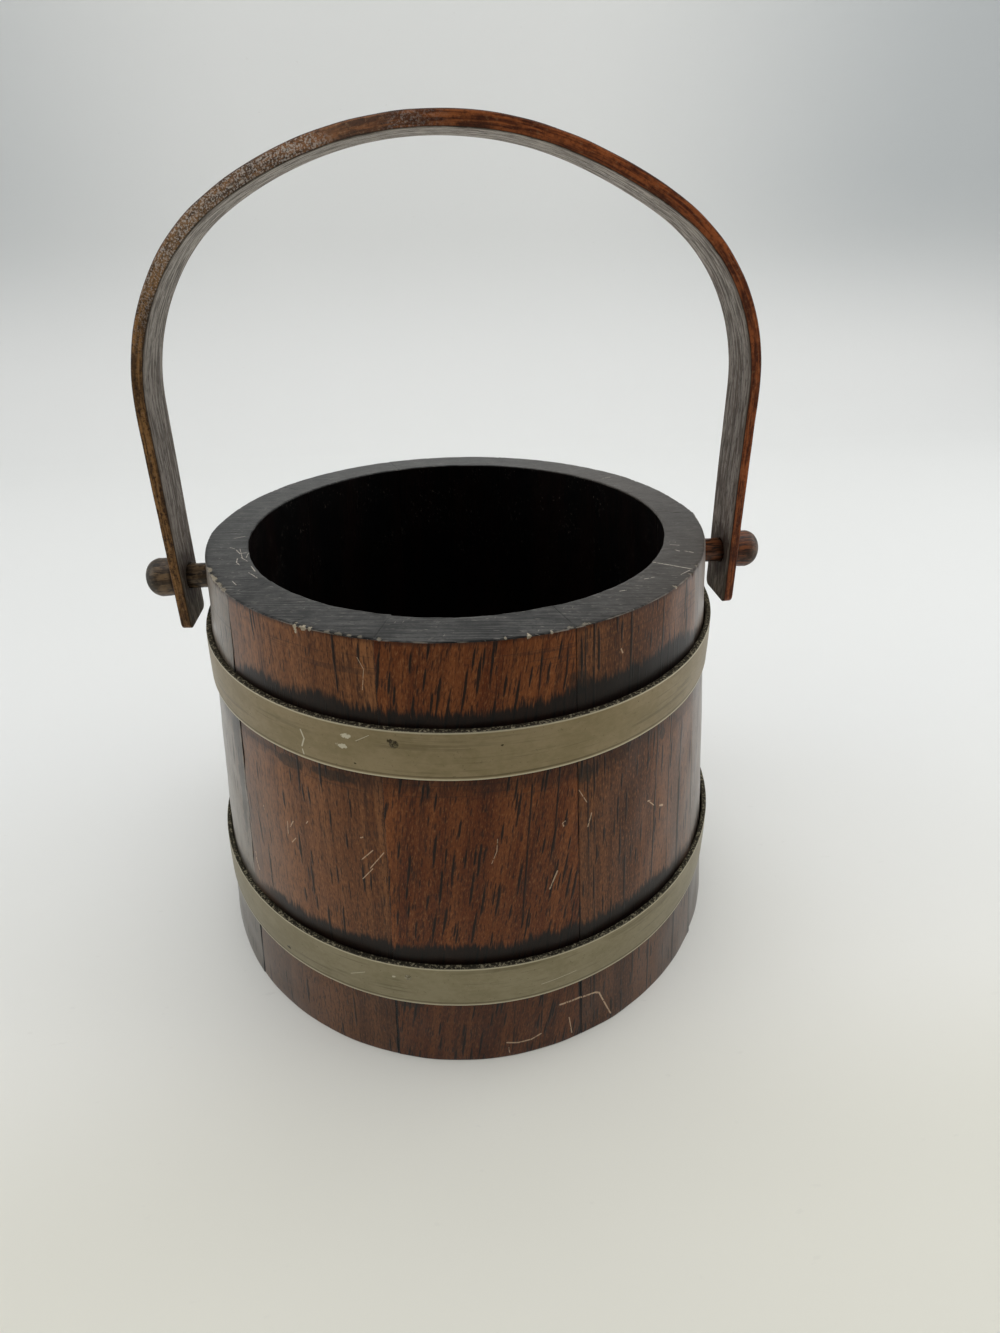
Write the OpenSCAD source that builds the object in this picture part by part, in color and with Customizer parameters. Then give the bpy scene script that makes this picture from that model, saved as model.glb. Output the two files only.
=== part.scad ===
// Small coopered wooden bucket: ten staves round a grooved-in bottom board, two metal hoops
// and a bent wooden bail that swings on two turned pegs.
// Millimetres. Origin at the centre of the base, +X along the pegs, +Z up.

/* [Staves] */
// outside diameter at the rim
rim_d = 156; // [130:1:180]
// outside diameter at the base, wider than the rim
base_d = 191.6; // [184:0.2:210]
// height of the staves
body_h = 143; // [125:1:170]
// thickness of a stave, measured level
stave_t = 12.6; // [11:0.2:16]
// easing of the edges at the rim and the base
edge_ease = 0.6; // [0.3:0.1:1.2]

/* [Bottom board] */
// height of the board's underside above the base
board_lift = 9; // [5:0.5:16]
// thickness of the board
board_t = 8; // [5:0.5:12]
// depth of the groove that holds the board
groove_depth = 4; // [2:0.5:6]

/* [Hoops] */
// thickness of the hoop strip
hoop_t = 1.6; // [1:0.1:2]
// rim to the top edge of the upper hoop
upper_drop = 22.6; // [20:0.1:26]
// width of the upper hoop
upper_w = 14.3; // [12:0.1:18]
// how far the upper hoop's top edge stands off the wall
upper_gap = 0.4; // [0.3:0.1:2]
// rim to the top edge of the lower hoop
lower_drop = 101.2; // [90:0.1:104]
// width of the lower hoop
lower_w = 15.6; // [12:0.1:18]
// how far the lower hoop's top edge stands off the wall
lower_gap = 0.3; // [0.2:0.1:1.5]

/* [Hoop nails] */
// diameter of a nail's shank
nail_d = 1.2; // [0.8:0.1:1.6]
// diameter of a nail's head
nail_head_d = 2.4; // [2:0.1:3]
// length of a nail's shank behind its head
nail_l = 8; // [5:0.5:9]
// height of a nail above the middle of its hoop
nail_up = 3; // [-3:0.1:4]
// direction of both nails about the bucket, from +X
nail_turn = 255; // [254:0.5:286]

/* [Pegs] */
// rim to the peg axis
peg_drop = 14; // [12:0.1:15]
// diameter of a peg's shank
peg_d = 8; // [6:0.1:9]
// diameter of a peg's head
peg_head_d = 12.4; // [11:0.1:14]
// length of a peg's head
peg_head_l = 9.2; // [7:0.1:14]
// rounding of the head's outer end
peg_round = 4.2; // [2:0.1:5]
// how deep a peg is driven into the wall
peg_depth = 11; // [7:0.5:11]

/* [Bail] */
// height of the bail's top above the peg axis
bail_rise = 119.3; // [112:0.1:150]
// thickness of the bent strip
bail_t = 3.2; // [2.6:0.1:5]
// width of the bent strip
bail_w = 17.4; // [14:0.1:22]
// length of a leg below the peg axis
bail_tail = 14.6; // [10:0.1:18]
// gap between the upper hoop's top edge and a leg, at the peg axis
leg_gap = 6.1; // [4:0.1:9]
// lean of a leg, outwards to its foot, in degrees
leg_splay = 3.1; // [0:0.1:5]

/* [Hidden] */
stave_n = 10;
pitch = 360 / stave_n;
rim_r = rim_d / 2;
base_r = base_d / 2;
flare = (base_r - rim_r) / body_h;

// driven parts overlap their seats by this much, turning parts clear theirs by the other two
drive_fit = 0.03;
run_fit = 0.08;
side_play = 0.25;
seat_gap = 0.3;

upper_top = body_h - upper_drop;
lower_top = body_h - lower_drop;
upper_out = wall(upper_top) + upper_gap + hoop_t;

groove_r = wall(board_lift) - stave_t + groove_depth;
board_top = board_lift + board_t;

peg_z = body_h - peg_drop;
peg_tip = wall(peg_z) - peg_depth;
leg_in = upper_out + leg_gap;
leg_out = leg_in + bail_t;
head_x = leg_out + tan(leg_splay) * peg_head_d / 2 + side_play;

// the arch is one wide arc between two tighter shoulder arcs, tangent to the leaning legs
top_r = 1.227 * leg_out;
shoulder_r = 0.671 * leg_out;
arch_z = bail_rise - top_r;
// a shoulder's centre: up the leg's line, moved in by the shoulder's radius, until the arcs meet
lean_x = leg_out - shoulder_r * cos(leg_splay);
lean_z = -shoulder_r * sin(leg_splay) - arch_z;
lean_b = lean_z * cos(leg_splay) - lean_x * sin(leg_splay);
leg_up = sqrt(pow(lean_b, 2) - pow(lean_x, 2) - pow(lean_z, 2) + pow(top_r - shoulder_r, 2)) - lean_b;
shoulder_x = lean_x - leg_up * sin(leg_splay);
shoulder_z = arch_z + lean_z + leg_up * cos(leg_splay);
shoulder_turn = atan2(shoulder_z - arch_z, shoulder_x);
// steps in each shoulder arc and in the wide arc
shoulder_steps = 24;
top_steps = 36;

nail_head_sink = 0.6;
nail_head_proud = 0.15;

wood = [0.36, 0.20, 0.12];
wood_dark = [0.31, 0.17, 0.10];
wood_floor = [0.24, 0.15, 0.10];
wood_bail = [0.38, 0.26, 0.17];
metal = [0.55, 0.50, 0.38];
metal_dark = [0.30, 0.27, 0.22];

// n points along an arc in the upright plane, from one angle up to but not reaching another
function arc(x, z, r, from, to, n) =
    [for (i = [0 : n - 1]) let (a = from + (to - from) * i / n) [x + r * cos(a), z + r * sin(a)]];
// one face of the bent strip, from the foot of the +X leg over the top to the foot of the -X leg
function strip_face(inset) = concat(
    [foot(inset)],
    arc(shoulder_x, shoulder_z, shoulder_r - inset, leg_splay, shoulder_turn, shoulder_steps),
    arc(0, arch_z, top_r - inset, shoulder_turn, 180 - shoulder_turn, top_steps),
    arc(-shoulder_x, shoulder_z, shoulder_r - inset, 180 - shoulder_turn, 180 - leg_splay, shoulder_steps),
    [mirrored(leg_top(inset)), mirrored(foot(inset))]
);
// where a face of the strip leaves the +X leg for its shoulder, and where it ends at the foot
function leg_top(inset) = [
    shoulder_x + (shoulder_r - inset) * cos(leg_splay),
    shoulder_z + (shoulder_r - inset) * sin(leg_splay)
];
function foot(inset) = [
    leg_out + bail_tail * sin(leg_splay) - inset * cos(leg_splay),
    -bail_tail * cos(leg_splay) - inset * sin(leg_splay)
];
// a point of the +X leg taken to the -X leg
function mirrored(q) = [-q[0], q[1]];
// a list of points taken from its end to its start
function turned(p) = [for (i = [len(p) - 1 : -1 : 0]) p[i]];
// outside radius of the wall at a height
function wall(z) = rim_r + flare * (body_h - z);
// height of a hoop's nail, and the hoop's outside radius there
function nail_z(top, w) = top - w / 2 + nail_up;
function nail_seat(top, w, gap) = (wall(top) + wall(top - w) + gap) / 2 + hoop_t + nail_up * (gap / w - flare);

// section through a stave, with the eased edges and the groove for the board
module stave_section() {
    polygon([
        [wall(0) - edge_ease, 0],
        [wall(edge_ease), edge_ease],
        [wall(body_h - edge_ease), body_h - edge_ease],
        [rim_r - edge_ease, body_h],
        [rim_r - stave_t + edge_ease, body_h],
        [wall(body_h - edge_ease) - stave_t, body_h - edge_ease],
        [wall(board_top) - stave_t, board_top],
        [groove_r, board_top],
        [groove_r, board_lift],
        [wall(board_lift) - stave_t, board_lift],
        [wall(0) - stave_t, 0]
    ]);
}

// blind hole for a peg, on the joint between two staves; side is 1 for +X and -1 for -X
module peg_hole(side) {
    rotate([0, 90 * side, 0])
        translate([0, 0, peg_tip - seat_gap])
            rotate([0, 0, pitch])
                cylinder(r = peg_d / 2 - drive_fit, h = peg_depth + stave_t, $fn = 64);
}

module nail_hole(top, w, gap) {
    translate([0, 0, nail_z(top, w)])
        rotate([0, 0, nail_turn])
            rotate([0, 90, 0])
                translate([0, 0, nail_seat(top, w, gap) - nail_head_sink - nail_l - seat_gap])
                    cylinder(r = nail_d / 2 - drive_fit, h = nail_l + hoop_t, $fn = 32);
}

// stave number k, counted round from +X
module stave(k) {
    difference() {
        rotate([0, 0, (k - 1) * pitch])
            rotate_extrude(angle = pitch, $fn = 180)
                stave_section();
        if (k == 1 || k == stave_n)
            translate([0, 0, peg_z]) peg_hole(1);
        if (k == stave_n / 2 || k == stave_n / 2 + 1)
            translate([0, 0, peg_z]) peg_hole(-1);
        if (floor(nail_turn / pitch) == k - 1) {
            nail_hole(upper_top, upper_w, upper_gap);
            nail_hole(lower_top, lower_w, lower_gap);
        }
    }
}

// a band driven up from below: tight at its lower edge, standing off the wall at its top edge
module hoop(top, w, gap) {
    difference() {
        rotate_extrude($fn = 180)
            polygon([
                [wall(top - w) - drive_fit, top - w],
                [wall(top - w) - drive_fit + hoop_t, top - w],
                [wall(top) + gap + hoop_t, top],
                [wall(top) + gap, top]
            ]);
        translate([0, 0, nail_z(top, w)])
            rotate([0, 0, nail_turn])
                rotate([0, 90, 0])
                    translate([0, 0, nail_seat(top, w, gap)]) {
                        translate([0, 0, -3 * hoop_t])
                            cylinder(r = nail_d / 2 + run_fit, h = 4 * hoop_t, $fn = 32);
                        translate([0, 0, -nail_head_sink])
                            cylinder(r = nail_head_d / 2 + run_fit, h = 2 * hoop_t, $fn = 32);
                    }
    }
}

// a nail whose head sits in the hoop and whose shank is driven into the stave behind it
module hoop_nail(top, w, gap) {
    translate([0, 0, nail_z(top, w)])
        rotate([0, 0, nail_turn])
            rotate([0, 90, 0])
                translate([0, 0, nail_seat(top, w, gap) - nail_head_sink]) {
                    translate([0, 0, -nail_l])
                        cylinder(r = nail_d / 2, h = nail_l + nail_head_sink / 2, $fn = 32);
                    cylinder(r = nail_head_d / 2, h = nail_head_sink + nail_head_proud, $fn = 32);
                }
}

// half section through a peg's head, with the rounded outer end
module head_section() {
    square([peg_head_d / 2, peg_head_l - peg_round]);
    square([peg_head_d / 2 - peg_round, peg_head_l]);
    intersection() {
        translate([peg_head_d / 2 - peg_round, peg_head_l - peg_round])
            circle(r = peg_round, $fn = 64);
        square([peg_head_d, peg_head_l]);
    }
}

// a turned peg: plain shank through the leg and into the wall, larger head outside the leg
module peg(side) {
    translate([0, 0, peg_z])
        rotate([0, 90 * side, 0]) {
            translate([0, 0, peg_tip])
                cylinder(r = peg_d / 2, h = head_x - peg_tip, $fn = 64);
            translate([0, 0, head_x])
                rotate_extrude($fn = 96)
                    head_section();
        }
}

module stave_1() { color(wood) stave(1); }
module stave_2() { color(wood_dark) stave(2); }
module stave_3() { color(wood) stave(3); }
module stave_4() { color(wood_dark) stave(4); }
module stave_5() { color(wood) stave(5); }
module stave_6() { color(wood_dark) stave(6); }
module stave_7() { color(wood) stave(7); }
module stave_8() { color(wood_dark) stave(8); }
module stave_9() { color(wood) stave(9); }
module stave_10() { color(wood_dark) stave(10); }

module bottom_board() {
    color(wood_floor)
        translate([0, 0, board_lift])
            cylinder(r = groove_r - seat_gap, h = board_t, $fn = 180);
}

module upper_hoop() { color(metal) hoop(upper_top, upper_w, upper_gap); }
module lower_hoop() { color(metal) hoop(lower_top, lower_w, lower_gap); }
module upper_hoop_nail() { color(metal_dark) hoop_nail(upper_top, upper_w, upper_gap); }
module lower_hoop_nail() { color(metal_dark) hoop_nail(lower_top, lower_w, lower_gap); }

module left_peg() { color(wood_bail) peg(-1); }
module right_peg() { color(wood_bail) peg(1); }

module bail() {
    color(wood_bail)
        translate([0, 0, peg_z])
            difference() {
                rotate([90, 0, 0])
                    linear_extrude(height = bail_w, center = true)
                        polygon(concat(strip_face(0), turned(strip_face(bail_t))));
                rotate([0, 90, 0])
                    cylinder(r = peg_d / 2 + run_fit, h = 2 * head_x, center = true, $fn = 64);
            }
}

stave_1();
stave_2();
stave_3();
stave_4();
stave_5();
stave_6();
stave_7();
stave_8();
stave_9();
stave_10();
bottom_board();
upper_hoop();
lower_hoop();
upper_hoop_nail();
lower_hoop_nail();
left_peg();
right_peg();
bail();
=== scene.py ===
"""Looks for the coopered wooden bucket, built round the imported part.

Ten staves, a bottom board, two hoops with a nail each, two turned pegs and a bent bail. Sizes
are in millimetres and become metres where a mesh is made. "Azimuth" is the direction round
the bucket as the camera sees it, 0 straight towards the camera and 90 to its right.
"""

import math

import bpy
import numpy as np
from mathutils import Matrix, Vector


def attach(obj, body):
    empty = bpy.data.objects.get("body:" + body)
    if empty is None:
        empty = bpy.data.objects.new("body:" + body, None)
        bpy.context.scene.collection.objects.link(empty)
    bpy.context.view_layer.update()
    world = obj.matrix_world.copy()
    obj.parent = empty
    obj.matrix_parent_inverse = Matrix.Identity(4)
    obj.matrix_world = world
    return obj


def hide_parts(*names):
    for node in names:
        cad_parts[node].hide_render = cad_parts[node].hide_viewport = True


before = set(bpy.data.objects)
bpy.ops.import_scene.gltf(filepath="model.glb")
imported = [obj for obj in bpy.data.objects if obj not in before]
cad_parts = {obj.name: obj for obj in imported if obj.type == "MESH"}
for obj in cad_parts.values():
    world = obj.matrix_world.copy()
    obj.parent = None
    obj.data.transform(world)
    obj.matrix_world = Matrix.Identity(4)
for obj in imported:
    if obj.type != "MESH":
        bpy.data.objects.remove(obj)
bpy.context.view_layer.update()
scene = bpy.context.scene

MM = 0.001
RIM_R, BASE_R, BODY_H = 78.0, 95.8, 143.0
STAVE_T, STAVES = 12.6, 10
PITCH = math.tau / STAVES
BOARD_LOW, BOARD_TOP, GROOVE_R, BOARD_R = 9.0, 17.0, 86.08, 85.78
HOOP_T, DRIVE_FIT, LOW_WEAR = 1.6, 0.03, 0.6
UPPER_TOP, UPPER_W, UPPER_GAP = 120.4, 14.3, 0.4
LOWER_TOP, LOWER_W, LOWER_GAP = 41.8, 15.6, 0.3
NAIL_TURN, NAIL_UP = math.radians(255), 3.0
NAIL_HEAD_R, NAIL_R, NAIL_L, NAIL_SINK, NAIL_PROUD = 1.2, 0.6, 8.0, 0.6, 0.15
PEG_Z, PEG_R, PEG_HEAD_R, PEG_HEAD_L, PEG_TIP = 129.0, 4.0, 6.2, 9.2, 68.74
LEG_OUT, BAIL_T, BAIL_W, BAIL_TAIL, BAIL_RISE = 92.11, 3.2, 17.4, 14.6, 119.3
LEG_SPLAY = math.radians(3.1)
HEAD_X = LEG_OUT + math.tan(LEG_SPLAY) * PEG_HEAD_R + 0.25
HOLE_R = 4.2
# how far the bail and the heads of the pegs have slid along the pegs, to the right
SLID = 1.2
# part angle of the direction that faces the camera
FRONT = math.radians(-92.45)


# ---------------------------------------------------------------- shapes

def wall(z):
    """Outside radius of the staves at a height: straight from the base to the narrower rim."""
    return RIM_R + (BASE_R - RIM_R) * (BODY_H - z) / BODY_H


def ripple(u, v, seed, longest, shortest, waves=9):
    """A smooth bumpy field, about -1 to 1: a sum of plane sine waves whose lengths lie between
    longest and shortest, with seeded directions and phases."""
    rng = np.random.default_rng(seed)
    size = np.geomspace(longest, shortest, waves)
    turn, phase = rng.uniform(0, math.tau, (2, waves))
    kx, ky = np.cos(turn) * math.tau / size, np.sin(turn) * math.tau / size
    total = sum(np.sin(a * u + b * v + c) for a, b, c in zip(kx, ky, phase))
    return total / math.sqrt(waves)


def ring_ripple(angle, seed, low, high, waves=6):
    """A smooth wobble round a full turn, about -1 to 1: a sum of sines that each go a whole
    number of times round, between low and high, with seeded phases."""
    rng = np.random.default_rng(seed)
    counts, phase = rng.integers(low, high + 1, waves), rng.uniform(0, math.tau, waves)
    return sum(np.sin(n * angle + p) for n, p in zip(counts, phase)) / math.sqrt(waves)


def rounded_path(corners, radii, gaps, closed=False, steps=6):
    """Points along straight sides joined by arcs: at each corner the arc of its radius touches
    both sides, and each side is split evenly with no step longer than its gap."""
    corners = np.array(corners, float)
    count, parts = len(corners), []
    for i in range(count):
        here, back, on = corners[i], corners[i - 1], corners[(i + 1) % count]
        trim, out_trim = 0.0, 0.0
        if radii[i] > 0 and (closed or 0 < i < count - 1):
            u, v = (back - here), (on - here)
            u, v = u / np.linalg.norm(u), v / np.linalg.norm(v)
            half = math.acos(np.clip(u @ v, -1, 1)) / 2
            trim = radii[i] / math.tan(half)
            centre = here + (u + v) / np.linalg.norm(u + v) * radii[i] / math.sin(half)
            first, last = here + u * trim - centre, here + v * trim - centre
            t = np.linspace(0, 1, steps + 1)[:, None]
            sweep = math.pi - 2 * half
            arc = (np.sin((1 - t) * sweep) * first + np.sin(t * sweep) * last) / math.sin(sweep)
            parts.append(centre + arc)
            out_trim = trim
        else:
            parts.append(here[None])
        if closed or i < count - 1:
            k = (i + 1) % count
            start = parts[-1][-1]
            side = on - here
            length = np.linalg.norm(side)
            end_trim = 0.0
            if radii[k] > 0 and (closed or 0 < k < count - 1):
                a, b = here - on, corners[(k + 1) % count] - on
                cosine = a @ b / np.linalg.norm(a) / np.linalg.norm(b)
                end_trim = radii[k] / math.tan(math.acos(np.clip(cosine, -1, 1)) / 2)
            run = length - out_trim - end_trim
            n = max(1, math.ceil(run / gaps[i]))
            t = np.arange(1, n)[:, None] / n
            parts.append(start + t * side / length * run)
    return np.concatenate(parts)


def grid_quads(rows, cols, close_rows=False, close_cols=False, first=0):
    """Quads over points numbered row by row; a closed direction joins its last line to its first."""
    i = np.arange(rows if close_rows else rows - 1)[:, None]
    j = np.arange(cols if close_cols else cols - 1)[None, :]
    i2, j2 = (i + 1) % rows, (j + 1) % cols
    quads = np.stack([i * cols + j, i * cols + j2, i2 * cols + j2, i2 * cols + j], -1)
    return first + quads.reshape(-1, 4)


def make_mesh(name, points, quads, caps=(), fields=None):
    """A smooth mesh from whole arrays: points in millimetres, four-sided faces, end caps of any
    number of sides, and named values at the points for the finish to read."""
    mesh = bpy.data.meshes.new(name)
    corners = np.concatenate([quads.ravel(), *caps]).astype(np.int32)
    totals = np.concatenate([np.full(len(quads), 4), [len(c) for c in caps]]).astype(np.int32)
    mesh.vertices.add(len(points))
    mesh.vertices.foreach_set("co", (points * MM).astype(np.float32).ravel())
    mesh.loops.add(len(corners))
    mesh.loops.foreach_set("vertex_index", corners)
    mesh.polygons.add(len(totals))
    mesh.polygons.foreach_set("loop_start", (np.cumsum(totals) - totals).astype(np.int32))
    mesh.polygons.foreach_set("use_smooth", np.ones(len(totals), bool))
    mesh.update(calc_edges=True)
    for field, values in (fields or {}).items():
        kind, key = ("FLOAT_VECTOR", "vector") if values.ndim == 2 else ("FLOAT", "value")
        layer = mesh.attributes.new(field, kind, "POINT")
        layer.data.foreach_set(key, values.astype(np.float32).ravel())
    return mesh


def add_piece(name, mesh, finish, body, slot, *nodes):
    """Puts a finished mesh in the scene as a piece that rides on a body and stands for nodes."""
    mesh.materials.append(finish)
    piece = bpy.data.objects.new(name, mesh)
    scene.collection.objects.link(piece)
    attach(piece, body)
    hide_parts(*nodes)
    return piece


# ---------------------------------------------------------------- finishes

class Wire:
    """An output socket in a finish. Sums on wires and numbers add Math nodes, and node() adds
    any other node: its settings are set first, then its sockets."""

    def __init__(self, tree, socket=None):
        self.tree, self.socket = tree, socket

    def node(self, kind, settings=None, sockets=None, out=0):
        made = self.tree.nodes.new("ShaderNode" + kind)
        for setting, value in (settings or {}).items():
            setattr(made, setting, value)
        for name, value in (sockets or {}).items():
            if isinstance(value, Wire):
                self.tree.links.new(value.socket, made.inputs[name])
            else:
                made.inputs[name].default_value = value
        return Wire(self.tree, made.outputs[out])

    def math(self, operation, *terms):
        return self.node("Math", {"operation": operation}, dict(enumerate(terms)))

    def __add__(self, other):
        return self.math("ADD", self, other)

    def __sub__(self, other):
        return self.math("SUBTRACT", self, other)

    def __rsub__(self, other):
        return self.math("SUBTRACT", other, self)

    def __mul__(self, other):
        return self.math("MULTIPLY", self, other)

    __radd__, __rmul__ = __add__, __mul__


def colour(*levels):
    """A screen colour of 0 to 255 as the linear colour that a shader takes."""
    share = np.array(levels) / 255
    linear = np.where(share <= 0.04045, share / 12.92, ((share + 0.055) / 1.055) ** 2.4)
    return (*linear.tolist(), 1.0)


def ramp(value, low, high):
    """0 below low, 1 above high and smooth between; the other way round if low is the larger."""
    return value.node("MapRange", {"interpolation_type": "SMOOTHSTEP"},
                      {"Value": value, "From Min": low, "From Max": high})


def tint(mask, under, over):
    """One colour over another where the mask is 1."""
    return mask.node("Mix", {"data_type": "RGBA"}, {0: mask, 6: under, 7: over}, out=2)


def shift(at, along):
    return at.node("VectorMath", {"operation": "ADD"}, {0: at, 1: along})


def stretch(at, by):
    return at.node("VectorMath", {"operation": "MULTIPLY"}, {0: at, 1: by})


def cloud(at, size, seed=0.0, detail=2.0, rough=0.5):
    """Soft noise about 0.5, whose lumps are about size (three lengths) long each way."""
    moved = at.node("Mapping", None, {"Vector": at, "Location": (seed * 7.31, seed * 3.77, seed * 5.13),
                                      "Scale": tuple(1 / s for s in size)})
    return at.node("TexNoise", {"noise_dimensions": "3D"},
                   {"Vector": moved, "Scale": 1.0, "Detail": detail, "Roughness": rough})


def parts(vector):
    """The three numbers of a vector, each as a wire."""
    return [vector.node("SeparateXYZ", None, {0: vector}, out=i) for i in range(3)]


def together(tree, x, y, z):
    return tree.node("CombineXYZ", None, {0: x, 1: y, 2: z})


def largest(masks):
    """The greatest of several masks."""
    top = masks[0]
    for other in masks[1:]:
        top = top.math("MAXIMUM", top, other)
    return top


def stroke(at, points, width):
    """1 along a line through points: the distance to the nearest place on each straight run,
    found by how far along the run the spot is, and then a soft edge."""
    offs = []
    for start, end in zip(points, points[1:]):
        line = np.subtract(end, start)
        local = shift(at, tuple(-np.array(start, float)))
        along = at.node("VectorMath", {"operation": "DOT_PRODUCT"},
                        {0: local, 1: tuple(line / (line @ line))}, out=1)
        along = along.node("Clamp", None, {0: along})
        near = at.node("VectorMath", {"operation": "SCALE"}, {0: tuple(line), "Scale": along})
        offs.append(at.node("VectorMath", {"operation": "DISTANCE"}, {0: local, 1: near}, out=1))
    return largest([ramp(off, width, width * 0.35) for off in offs])


def blotch(at, centre, size, rough):
    """1 inside an oval of three half lengths about a centre, with an edge broken by rough."""
    local = stretch(shift(at, tuple(-np.array(centre, float))), tuple(1 / s for s in size))
    off = at.node("VectorMath", {"operation": "LENGTH"}, {0: local}, out=1)
    return ramp(off + rough, 1.15, 0.85)


def spindles(tree, across, up, cell, thick, share, rough, seed):
    """Separate dashes that taper to both ends. Space is cut into jittered cells, cell wide by cell
    high; a dash is where the distance to the cell's point, in cells, is below thick. Only a share
    of the cells has one, and rough breaks the edges."""
    spot = together(tree, across * (1 / cell[0]) + seed, up * (1 / cell[1]) + seed, 0.0)
    off = tree.node("TexVoronoi", {"voronoi_dimensions": "2D"}, {"Vector": spot, "Scale": 1.0})
    pick = parts(tree.node("TexVoronoi", {"voronoi_dimensions": "2D"}, {"Vector": spot, "Scale": 1.0}, out=1))[0]
    return ramp(off + rough, thick * 1.3, thick * 0.75) * ramp(pick, share + 0.02, share - 0.02)


def new_finish(name):
    """An empty material with its surface shader, ready for finish_off."""
    material = bpy.data.materials.new(name)
    material.use_nodes = True
    return material, Wire(material.node_tree)


def finish_off(tree, base, rough, height, metal=0.0, level=0.5, coat=0.0):
    """Feeds the surface shader: base colour, roughness, and a height in millimetres as bump. A
    thin coat adds the sheen that old handled wood shows at a glance along it."""
    surface = next(n for n in tree.tree.nodes if n.type == "BSDF_PRINCIPLED")
    bump = tree.node("Bump", None, {"Strength": 1.0, "Distance": MM, "Height": height})
    for socket, wire in (("Base Color", base), ("Roughness", rough), ("Normal", bump)):
        tree.tree.links.new(wire.socket, surface.inputs[socket])
    surface.inputs["Metallic"].default_value = metal
    surface.inputs["Specular IOR Level"].default_value = level
    surface.inputs["Coat Weight"].default_value = coat
    surface.inputs["Coat Roughness"].default_value = 0.34
    surface.inputs["Coat IOR"].default_value = 1.2


def named(tree, field, out=1):
    """A value that the mesh carries at its points: out 1 is a vector, 2 a number."""
    return tree.node("Attribute", {"attribute_name": field}, None, out=out)


def place(tree):
    """Where the surface is in the bucket, in millimetres."""
    spot = tree.node("TexCoord", None, None, out=3)
    return stretch(spot, (1000, 1000, 1000))


# each stave: lean of its grain (to the right per unit up), light and dark tones, how open its
# pores are, and how strong its long dark growth lines are
STAVE_LOOKS = {
    1: dict(lean=0.03, light=(124, 74, 38), dark=(84, 45, 20), pores=0.5, lines=0.5),
    2: dict(lean=-0.05, light=(130, 76, 36), dark=(90, 49, 20), pores=0.3, lines=0.3),
    3: dict(lean=0.02, light=(120, 70, 34), dark=(82, 44, 20), pores=0.6, lines=0.6),
    4: dict(lean=-0.02, light=(126, 76, 39), dark=(86, 47, 22), pores=0.4, lines=0.4),
    5: dict(lean=0.06, light=(122, 72, 34), dark=(82, 44, 18), pores=0.5, lines=0.5),
    # stave 6 faces far to the left: its grey tones are partly painted sheen
    6: dict(lean=-0.03, light=(150, 138, 122), dark=(104, 92, 78), pores=0.4, lines=0.3),
    7: dict(lean=-0.05, light=(136, 87, 50), dark=(98, 55, 25), pores=0.2, lines=0.15),
    8: dict(lean=0.15, light=(130, 73, 33), dark=(92, 42, 10), pores=1.0, lines=0.4),
    9: dict(lean=0.06, light=(124, 77, 44), dark=(84, 46, 20), pores=0.5, lines=0.3),
    # stave 10 faces far to the right: its greyer tones are partly painted sheen
    10: dict(lean=0.05, light=(120, 94, 72), dark=(82, 60, 44), pores=0.45, lines=0.5),
}

# long dark growth lines that run the whole height: stave, half width, azimuths high and low
GROWTH_LINES = [
    (9, 0.6, 33.2, 30.0), (9, 0.5, 42.6, 37.6), (9, 0.9, 52.2, 47.0), (9, 0.8, 57.4, 55.6),
    (9, 0.35, 47.0, 43.0), (9, 0.5, 24.2, 23.4), (9, 0.3, 22.2, 22.8),
    (8, 0.4, 14.2, 6.2), (8, 0.35, 19.2, 11.6), (10, 0.5, 66.0, 64.0),
]

# dark stains: azimuth, height, half width and half height
STAINS = [(22.0, 100.6, 2.6, 2.6), (42.4, 100.6, 1.4, 2.0), (-36.0, 101.5, 5.0, 2.0), (-26.0, 102.0, 7.0, 1.6),
          (-53.6, 84.0, 2.0, 26.0), (-54.2, 98.0, 2.6, 9.0), (20.8, 128.0, 3.4, 3.2), (-12.6, 24.6, 3.8, 2.2)]

# light scratches on the outside: half width, then azimuth and height of the points passed
WALL_SCRATCHES = [
    (0.24, (-36.3, 80.8), (-37.2, 78.3)), (0.2, (-37.9, 79.7), (-38.0, 75.3)),
    (0.22, (-36.0, 74.9), (-37.1, 72.7)), (0.2, (-16.2, 80.1), (-19.1, 73.8)),
    (0.22, (-18.4, 80.1), (-20.8, 76.0)), (0.2, (-18.6, 73.8), (-20.8, 69.3)), (0.22, (-32.4, 83.3), (-32.8, 82.4)),
    (0.24, (-20.2, 84.0), (-20.7, 83.6)), (0.3, (-50.4, 56.9), (-50.2, 54.0), (-49.2, 51.0)),
    (0.26, (-45.3, 79.6), (-45.2, 78.4)), (0.11, (-18.9, 137.6), (-17.8, 134.7), (-18.3, 129.1)),
    (0.3, (16.0, 70.6), (14.4, 65.0)), (0.26, (23.2, 87.1), (22.4, 82.9)),
    (0.17, (20.6, 96.0), (22.2, 91.3)), (0.24, (17.7, 87.1), (17.2, 86.6), (17.4, 85.6)),
    (0.24, (38.0, 80.5), (39.8, 77.3)), (0.5, (41.9, 75.4), (42.8, 74.6)), (0.3, (37.9, 80.4), (38.6, 80.0)),
    (0.14, (4.8, 85.6), (4.6, 81.5), (3.6, 77.5)), (0.3, (30.4, 133.4), (30.8, 132.2)),
    (0.36, (5.3, 6.5), (7.4, 5.6), (10.1, 5.6), (12.0, 7.0)),
    (0.5, (16.1, 17.1), (20.4, 17.1), (23.8, 16.2), (24.7, 15.0)),
    (0.36, (24.7, 15.0), (26.0, 9.0), (27.4, 2.6)), (0.22, (17.9, 10.0), (18.4, 2.6)),
    (0.2, (5.6, 4.1), (5.7, 1.9)),
]

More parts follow.
